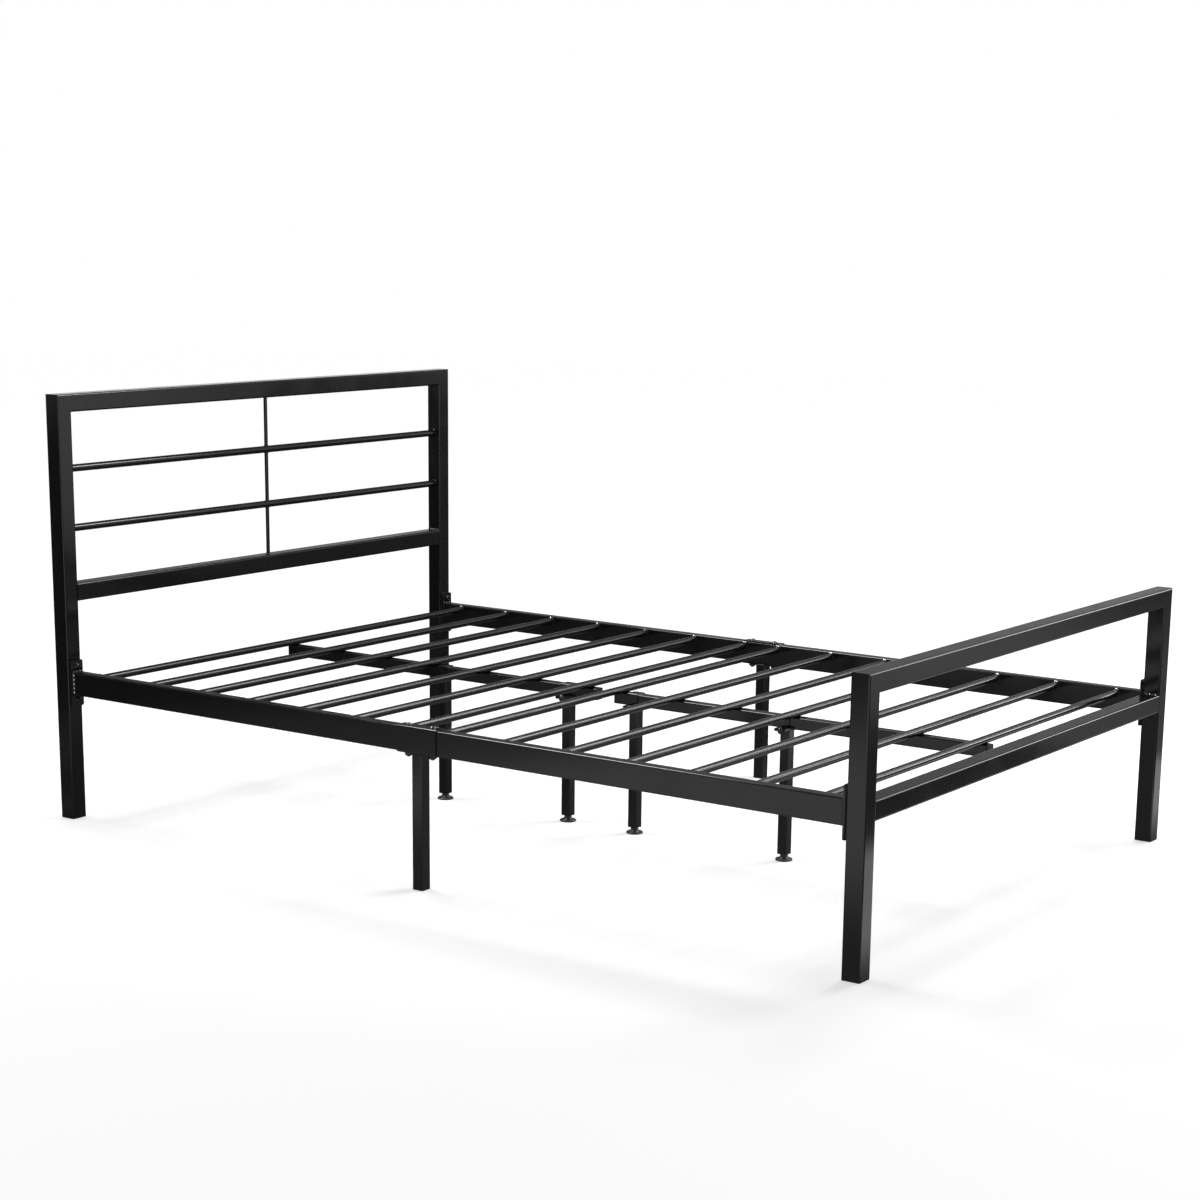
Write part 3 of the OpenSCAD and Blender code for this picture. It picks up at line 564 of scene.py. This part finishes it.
def mitre_seams():
    """The ground-down seam of each mitre, a hair proud of the faces it crosses."""
    sunk, from_inside, to_outside = 0.62 * MM, 0.06, 0.93
    lines = []
    for low, high in (HEAD_TOP, FOOT_TOP):
        for sx in (1, -1):
            inner = Vector((sx * INNER_X, 0, low.z))
            outer = Vector((sx * high.x, 0, high.z))
            a, b = inner.lerp(outer, from_inside), inner.lerp(outer, to_outside)
            for y in (low.y + sunk, high.y - sunk):
                lines.append(([Vector((a.x, y, a.z)), Vector((b.x, y, b.z))], False))
    weld("mitre_seams", lines, width=1.3, pitch=5.0, depth=0.02, uneven=0.1, seed=6)


def rod_welds():
    """Thin rings round the rods at the posts, and round the upright at rails and rods."""
    proud = 0.3 * MM
    upright_low, upright_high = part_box("head_upright")
    bar = (upright_high.x - upright_low.x) / 2 + proud
    lines = []
    for rod in ("head_rod_upper", "head_rod_lower"):
        low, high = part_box(rod)
        z, radius = (low.z + high.z) / 2, (high.z - low.z) / 2
        for sx in (1, -1):
            lines.append(hoop((sx * INNER_X, POST_Y, z), (0, 1, 0), (0, 0, 1), radius + proud))
        # Where the upright runs into the rod, its ring follows the round of the rod.
        for side in (1, -1):
            saddle = []
            for k in range(24):
                a = 2 * math.pi * k / 24
                x, y = bar * math.cos(a), bar * math.sin(a)
                saddle.append(Vector((x, POST_Y + y, z + side * math.sqrt(radius * radius - y * y))))
            lines.append((saddle, True))
    for z in (upright_low.z, upright_high.z):
        lines.append(hoop((0, POST_Y, z), (1, 0, 0), (0, 1, 0), bar))
    weld("rod_welds", lines, width=2.8, pitch=3.0, depth=0.12, uneven=0.5, seed=8)


def leg_welds():
    """Beads round the tops of the two middle legs and the four centre legs."""
    corner_r, centre_half, below_top = 2 * MM, 11 * MM, 2.5 * MM
    lines = []
    for node_name in ("mid_leg_left", "mid_leg_right"):
        low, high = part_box(node_name)
        lines.append((loop(low.x, high.x, low.y, high.y, corner_r,
                           lambda u, v: Vector((u, v, high.z))), True))
    weld("middle_leg_welds", lines, width=4.5, pitch=4.5, depth=0.2, uneven=0.6, seed=9)
    lines = []
    for i in range(1, 5):
        strap_low, strap_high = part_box("saddle_strap_%d" % i)
        low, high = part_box("centre_leg_%d" % i)
        x, y, z = (low.x + high.x) / 2, (strap_low.y + strap_high.y) / 2, high.z - below_top
        lines.append((loop(x - centre_half, x + centre_half, y - centre_half, y + centre_half, corner_r,
                           lambda u, v: Vector((u, v, z))), True))
    weld("centre_leg_welds", lines, width=3.5, pitch=4.0, depth=0.2, uneven=0.6, seed=10)


rail_end_welds()
slat_end_welds()
end_frame_welds()
mitre_seams()
rod_welds()
leg_welds()


# ---------------------------------------------------------------- fasteners

M8, M6 = 8 * MM, 6 * MM
# The coarse pitch that goes with an M8 thread.
M8_PITCH = 1.25 * MM
# A button head's width and height for each millimetre of thread.
BUTTON_WIDE, BUTTON_TALL = 1.75, 0.55
WASHER_THICK = 1.5 * MM


def ring(radii, z):
    """Points evenly spread round the axis, one for each radius, from the x axis on."""
    turns = [2 * math.pi * k / len(radii) for k in range(len(radii))]
    return [(r * math.cos(a), r * math.sin(a), z) for r, a in zip(radii, turns)]


def six_flats(across, sides):
    """Radii of a hexagon of this width across its flats."""
    turns = [2 * math.pi * k / sides % (math.pi / 3) - math.pi / 6 for k in range(sides)]
    return [across / 2 / math.cos(a) for a in turns]


def skinned(name, rings, lid=False):
    """A mesh with faces from each ring to the next; a ring of one point is a tip, and a lid is flat."""
    sides = max(len(row) for row in rings)
    points, starts, faces = [], [], []
    for row in rings:
        starts.append(len(points))
        points += row
    for i in range(len(rings) - 1):
        a, b = starts[i], starts[i + 1]
        for k in range(sides):
            n = (k + 1) % sides
            if len(rings[i]) == 1:
                faces.append((a, b + n, b + k))
            elif len(rings[i + 1]) == 1:
                faces.append((a + k, a + n, b))
            else:
                faces.append((a + k, a + n, b + n, b + k))
    if lid:
        faces.append(range(starts[-1], len(points)))
    mesh = bpy.data.meshes.new(name)
    mesh.from_pydata(points, [], faces)
    return mesh

def turned(name, profile, sides):
    """A part turned on the lathe: profile holds (radius, height) from the foot to the top."""
    return skinned(name, [[(0.0, 0.0, z)] if r == 0 else ring([r] * sides, z) for r, z in profile])


def shaded(mesh, angle=32):
    """Smooth faces with crisp edges where the shape turns by more than the angle."""
    work = bmesh.new()
    work.from_mesh(mesh)
    bmesh.ops.remove_doubles(work, verts=work.verts, dist=1e-7)
    bmesh.ops.recalc_face_normals(work, faces=work.faces)
    for face in work.faces:
        face.smooth = True
    for edge in work.edges:
        if len(edge.link_faces) == 2 and edge.calc_face_angle(0) > math.radians(angle):
            edge.smooth = False
    work.to_mesh(mesh)
    work.free()
    return mesh


def dome_bolt(name, size, shank):
    """Button-head bolt with a hexagon socket; its head stands on z = 0 and its shank goes down."""
    sides, tip, head_edge, head_rim, lip = 48, 0.6 * MM, 0.25 * MM, 0.3 * MM, 0.25 * MM
    head_r, head_h = size * BUTTON_WIDE / 2, size * BUTTON_TALL
    ball = (head_r ** 2 + head_h ** 2) / (2 * head_h)
    flats, mouth_r, floor = size * 0.686, size * 0.406, head_h * 0.42
    profile = [(size / 2 - tip, -shank), (size / 2, -shank + tip), (size / 2, 0), (head_r - head_edge, 0),
               (head_r, head_rim)]
    low, top = math.asin(head_r / ball), math.asin(mouth_r / ball)
    for k in range(1, 13):
        a = low + (top - low) * k / 12
        profile.append((ball * math.sin(a), ball * math.cos(a) - ball + head_h))
    rings = [[(0.0, 0.0, -shank)]] + [ring([r] * sides, z) for r, z in profile]
    walls = six_flats(flats, sides)
    rings += [ring(walls, profile[-1][1] - lip), ring(walls, floor)]
    return template(name, shaded(skinned(name, rings, lid=True)))


def washer(name, size):
    """Flat washer with its stamped, slightly rounded rim, standing on z = 0."""
    across, clearance, thick, edge = size * 2.05, 0.25 * MM, WASHER_THICK, 0.3 * MM
    r, bore = across / 2, size / 2 + clearance
    profile = [(bore, 0), (r - edge, 0), (r, edge), (r, thick - edge), (r - edge, thick),
               (bore + edge, thick), (bore, thick - edge), (bore, 0)]
    return template(name, shaded(turned(name, profile, 48)))


def hex_nut(name, size):
    """Hexagon nut, chamfered on its lower face, its upper face on z = 0."""
    sides, across, thick, widest = 36, size * 1.625, size * 0.8, 1.0 * MM
    chamfer_z, chamfer_r = -thick * 0.86, across / 2 * 0.98
    outline = [min(r, across / 2 + widest) for r in six_flats(across, sides)]
    chamfer, bore = [chamfer_r] * sides, [size / 2] * sides
    rings = [ring(outline, 0), ring(outline, chamfer_z), ring(chamfer, -thick), ring(bore, -thick),
             ring(bore, 0), ring(outline, 0)]
    return template(name, shaded(skinned(name, rings), 25))


def template(name, mesh):
    """The one copy of a fastener that the tree places; it is taken away at the end."""
    part = bpy.data.objects.new(name + "_pattern", mesh)
    scene.collection.objects.link(part)
    return part


def place_fasteners(name, part, places, seed, stands_for):
    """A set of equal fasteners that stands for one node of the solids."""
    grow(name, spots(name, places), FASTENERS,
         {"Fastener": part, "Spin": 6.28, "Seed": seed, "Material": BOLT_STEEL},
         FRAME, (stands_for,))


def fasteners():
    """Bolts, washers and nuts, each set on the axes that the solids give."""
    rail_x = (RAIL[0].x + RAIL[1].x) / 2
    rail_z = (RAIL[0].z + RAIL[1].z) / 2
    plate_y = RAIL[1].y
    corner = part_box("corner_bolts")
    head_r = M8 * BUTTON_WIDE / 2
    spacing = (corner[1].z - corner[0].z) / 2 - head_r
    m8 = dome_bolt("corner_bolt", M8, corner[1].y - plate_y + WASHER_THICK)
    faces = [((sx * rail_x, sy * plate_y, rail_z + sz * spacing), (0, -sy, 0))
             for sx in (1, -1) for sy in (1, -1) for sz in (1, -1)]
    raised = [((p[0], p[1] + a[1] * WASHER_THICK, p[2]), a) for p, a in faces]
    place_fasteners("dome_bolts_corner", m8, raised, 21, "corner_bolts")
    flat_ring = washer("corner_washer", M8)
    place_fasteners("washers_corner", flat_ring, faces, 22, "corner_washers")

    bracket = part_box("joint_bracket_left")
    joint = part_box("joint_bolts")
    along = joint[1].y - head_r
    m8_long = dome_bolt("joint_bolt", M8, bracket[1].z - joint[0].z)
    tops = [((sx * rail_x, sy * along, bracket[1].z), (0, 0, 1)) for sx in (1, -1) for sy in (1, -1)]
    place_fasteners("dome_bolts_joint", m8_long, tops, 23, "joint_bolts")
    nut = hex_nut("joint_nut", M8)
    unders = [((p[0], p[1], bracket[0].z), a) for p, a in tops]
    place_fasteners("hex_nuts_joint", nut, unders, 24, "joint_nuts")

    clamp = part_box("clamp_bolts")
    clamp_x = clamp[1].x - M6 * BUTTON_WIDE / 2
    seat = clamp[1].z - M6 * BUTTON_TALL
    straps = [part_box("saddle_strap_%d" % i) for i in range(1, 5)]
    seats = [((sx * clamp_x, (low.y + high.y) / 2, seat), (0, 0, 1))
             for low, high in straps for sx in (1, -1)]
    m6 = dome_bolt("clamp_bolt", M6, seat - clamp[0].z)
    place_fasteners("dome_bolts_clamp", m6, seats, 25, "clamp_bolts")
    small = hex_nut("clamp_nut", M6)
    nut_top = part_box("clamp_nuts")[1].z
    lows = [((p[0], p[1], nut_top), a) for p, a in seats]
    place_fasteners("hex_nuts_clamp", small, lows, 26, "clamp_nuts")
    for part in (m8, flat_ring, m8_long, nut, m6, small):
        bpy.data.objects.remove(part)


fasteners()


# ---------------------------------------------------------------- glides

def glide_feet():
    """Moulded glide: a wide rim, a top that flares in a smooth hollow curve, and a neck for the screw."""
    neck, neck_edge, hollow, flare_tall, bend = 8 * MM, 0.6 * MM, 0.4 * MM, 7.4 * MM, 1.1
    # The foot stands on a ring under its rim, hollow inside, and the two ends of its slope are shares
    # of the rim. The edge then goes up: millimetres in from the widest, and millimetres up.
    slope_in, slope_out = 0.7, 0.78
    rim_edge = ((0.9, 0), (0.25, 0.4), (0, 1.1), (0, 2.6), (0.25, 3.5), (0.9, 4.1), (1.9, 4.4))
    for i in range(1, 5):
        low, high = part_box("glide_foot_%d" % i)
        rim, tall = (high.x - low.x) / 2, high.z - low.z
        profile = [(0, hollow), (rim * slope_in, hollow), (rim * slope_out, 0)]
        profile += [(rim - inward * MM, up * MM) for inward, up in rim_edge]
        flare_r, shoulder = profile[-1]
        for k in range(1, 13):
            a = math.pi / 2 * k / 12
            profile.append((neck + (flare_r - neck) * (1 - math.sin(a)) ** bend,
                            shoulder + flare_tall * (1 - math.cos(a)) ** bend))
        profile += [(neck, tall - neck_edge), (neck - neck_edge, tall), (0, tall)]
        name = "glide_%d_moulding" % i
        mesh = turned(name, profile, 56)
        mesh.transform(Matrix.Translation(((low.x + high.x) / 2, (low.y + high.y) / 2, low.z)))
        mesh.materials.append(GLIDE_PLASTIC)
        settle(name, shaded(mesh), "glide_%d" % i, ("glide_foot_%d" % i,))


glide_feet()


def glide_screws():
    """M8 thread of the four glides, seen where a glide is screwed out of its leg."""
    for i in range(1, 5):
        low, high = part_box("glide_stem_%d" % i)
        name = "glide_thread_%d" % i
        grow(name, spots(name, []), THREAD, {
            "Diameter": high.x - low.x, "Pitch": M8_PITCH, "Length": high.z - low.z,
            "Base": ((low.x + high.x) / 2, (low.y + high.y) / 2, low.z), "Material": THREAD_STEEL},
            "glide_screw_%d" % i, ("glide_stem_%d" % i,))


glide_screws()


# ---------------------------------------------------------------- floor, backdrop and light

def painted_lamp_pool(tree):
    """How bright the floor is in a reflection, from almost nothing to 1.15.

    All of it is painted light, a glow on the floor. On the left it is broad and fades past the head end.
    Under the bed it is a dim, painted shade. Half a metre in front of the foot end the white paper is painted
    as ending on a dark floor, and on the right the painted light grows with the distance.
    """
    spot = put(tree, "ShaderNodeSeparateXYZ", {0: put(tree, "ShaderNodeTexCoord").outputs["Object"]})
    x, y = spot.outputs["X"], spot.outputs["Y"]
    past_edge = put(tree, "ShaderNodeMath", {0: x, 1: -0.55, 2: y}, operation="MULTIPLY_ADD")
    slant = put(tree, "ShaderNodeMath", {0: x, 1: 0.9, 2: y}, operation="MULTIPLY_ADD")
    soft = {}
    # Soft steps: what each one follows, where it starts and ends in metres, and its level there.
    for step, along, start, end, low, high in (
            ("far left", past_edge, 2.9, 1.9, 0.05, 0.32),
            ("near left", past_edge, 1.75, 1.2, 0.0, 0.62),
            ("beyond the left rail", x, -0.8, -1.5, 0.28, 1.0),
            ("under the bed", y, 0.5, -0.2, 0.12, 0.28),
            ("towards the foot", slant, 1.2, -1.0, 0.14, 0.9),
            ("far out on the right", x, 1.4, 3.5, 0.5, 1.0),
            ("is beside the bed", x, 0.6, 1.0, 0.0, 1.0),
            ("is before the foot", y, -1.0, -1.15, 0.0, 1.0),
            ("is past the painted paper edge", y, -1.42, -1.5, 0.0, 1.0),
            ("is on the right", x, 1.35, 1.5, 0.0, 1.0),
            ("is not on the left", x, -0.75, -0.65, 0.0, 1.0)):
        soft[step] = put(tree, "ShaderNodeMapRange", {"Value": along, "From Min": start, "From Max": end,
                                                      "To Min": low, "To Max": high},
                         interpolation_type="SMOOTHSTEP")
    sum_left = put(tree, "ShaderNodeMath", {0: soft["far left"], 1: soft["near left"]})
    left = put(tree, "ShaderNodeMath", {0: sum_left, 1: soft["beyond the left rail"]}, operation="MULTIPLY")
    right = put(tree, "ShaderNodeMath", {0: soft["towards the foot"], 1: soft["far out on the right"]},
                operation="MULTIPLY")
    # The paper's painted glow in a reflection, and the painted dark beyond its edge.
    paper, painted_dark_floor = 1.15, 0.1
    bright = soft["under the bed"]
    for step, level in (("is beside the bed", right), ("is before the foot", paper),
                        ("is past the painted paper edge", painted_dark_floor), ("is on the right", right)):
        bright = put(tree, "ShaderNodeMix", {"Factor": soft[step], "A": bright, "B": level},
                     data_type="FLOAT")
    return put(tree, "ShaderNodeMix", {"Factor": soft["is not on the left"], "A": left, "B": bright},
               data_type="FLOAT")


def paper_floor():
    """A wide sheet of white paper; for the camera its far parts glow more, where the lamps don't reach, so
    that it stays white.
    """
    reach = 14.0
    corners = [(-reach, -reach, 0), (reach, -reach, 0), (reach, reach, 0), (-reach, reach, 0)]
    mesh = bpy.data.meshes.new("paper_floor")
    mesh.from_pydata(corners, [], [(0, 1, 2, 3)])
    floor = bpy.data.objects.new("paper_floor", mesh)
    scene.collection.objects.link(floor)
    material = bpy.data.materials.new("white_paper")
    material.use_nodes = True
    tree = material.node_tree
    tree.nodes.clear()
    white = (1, 1, 1, 1)
    rays = put(tree, "ShaderNodeLightPath").outputs
    seen = put(tree, "ShaderNodeMath", {0: rays["Is Camera Ray"], 1: rays["Is Transmission Ray"]},
               operation="MAXIMUM")
    spot = put(tree, "ShaderNodeTexCoord").outputs["Object"]
    away = put(tree, "ShaderNodeVectorMath", {0: spot}, operation="LENGTH").outputs["Value"]
    far_glow = put(tree, "ShaderNodeMapRange", {"Value": away, "From Min": 1.5, "From Max": 4.0,
                                                "To Min": 0.5, "To Max": 0.8})
    sheet = put(tree, "ShaderNodeBsdfDiffuse", {"Color": linear("#e6e6e6")})
    glow = put(tree, "ShaderNodeEmission", {"Color": white, "Strength": far_glow})
    lit = put(tree, "ShaderNodeAddShader", {0: sheet, 1: glow})
    # In a reflection the floor shows only its painted glow, not its lit sheet.
    mirrored = put(tree, "ShaderNodeEmission", {"Color": white, "Strength": painted_lamp_pool(tree)})
    looked_at = put(tree, "ShaderNodeMixShader", {0: seen, 1: sheet, 2: lit})
    pick = put(tree, "ShaderNodeMixShader", {0: rays["Is Glossy Ray"], 1: looked_at, 2: mirrored})
    put(tree, "ShaderNodeOutputMaterial", {"Surface": pick})
    mesh.materials.append(material)


def studio_world():
    """White backdrop all round; in a reflection its upper part is dim, most of all past the head end."""
    world = bpy.data.worlds.new("studio")
    scene.world = world
    world.use_nodes = True
    tree = world.node_tree
    tree.nodes.clear()
    light_on_the_bed = 0.25
    rays = put(tree, "ShaderNodeLightPath").outputs
    way = put(tree, "ShaderNodeSeparateXYZ", {0: put(tree, "ShaderNodeTexCoord").outputs["Generated"]})
    upper = put(tree, "ShaderNodeMapRange", {"Value": way.outputs["Y"], "From Min": 0.35, "From Max": 0.7,
                                             "To Min": 0.26, "To Max": 0.1})
    foot = put(tree, "ShaderNodeMapRange", {"Value": way.outputs["Z"], "From Min": 0.06, "From Max": 0.14,
                                            "To Min": 1.0, "To Max": 0.0})
    backdrop = put(tree, "ShaderNodeMix", {"Factor": foot, "A": upper, "B": 1.0}, data_type="FLOAT")
    room = put(tree, "ShaderNodeMix", {"Factor": rays["Is Glossy Ray"], "A": light_on_the_bed, "B": backdrop},
               data_type="FLOAT")
    seen = put(tree, "ShaderNodeMath", {0: rays["Is Camera Ray"], 1: rays["Is Transmission Ray"]},
               operation="MAXIMUM")
    strength = put(tree, "ShaderNodeMath", {0: room, 1: seen}, operation="MAXIMUM")
    back = put(tree, "ShaderNodeBackground", {"Color": (1, 1, 1, 1), "Strength": strength})
    put(tree, "ShaderNodeOutputWorld", {"Surface": back})


def softbox(name, place, size, power, target=None, spread=180, only_gloss=False):
    """A soft light the camera doesn't see; it looks down, or at a target through a grid of some spread.

    With only_gloss it is a reflector card: it shows in the coat and adds no light.
    """
    data = bpy.data.lights.new(name, "AREA")
    data.shape = "RECTANGLE"
    data.size, data.size_y = size
    data.energy = power
    data.spread = math.radians(spread)
    lamp = bpy.data.objects.new(name, data)
    scene.collection.objects.link(lamp)
    lamp.location = place
    if target:
        lamp.rotation_euler = (Vector(target) - Vector(place)).to_track_quat("-Z", "Y").to_euler()
    lamp.visible_camera = False
    lamp.visible_diffuse = not only_gloss


paper_floor()
studio_world()
softbox("over_the_foot", (1.45, -0.95, 2.6), (1.1, 1.3), power=58)
softbox("over_the_head", (-0.4, 1.3, 2.6), (0.9, 0.8), power=30)
softbox("card_over_the_rails", (-0.3, 1.4, 2.7), (2.0, 1.2), power=80, only_gloss=True)
softbox("card_for_the_slats", (2.2, -2.4, 2.8), (2.2, 2.2), power=8.0,
        target=(-0.9, -0.5, 0.3), spread=38, only_gloss=True)
softbox("card_on_the_right", (4.3, -1.6, 2.6), (2.4, 2.4), power=1.3,
        target=(0, -0.6, 0.3), spread=60, only_gloss=True)
softbox("card_for_the_foot_edges", (4.9, -3.3, 1.5), (1.5, 1.0), power=1.4,
        target=(0, -1.0, 0.5), spread=34, only_gloss=True)

scene.view_settings.view_transform = "Standard"
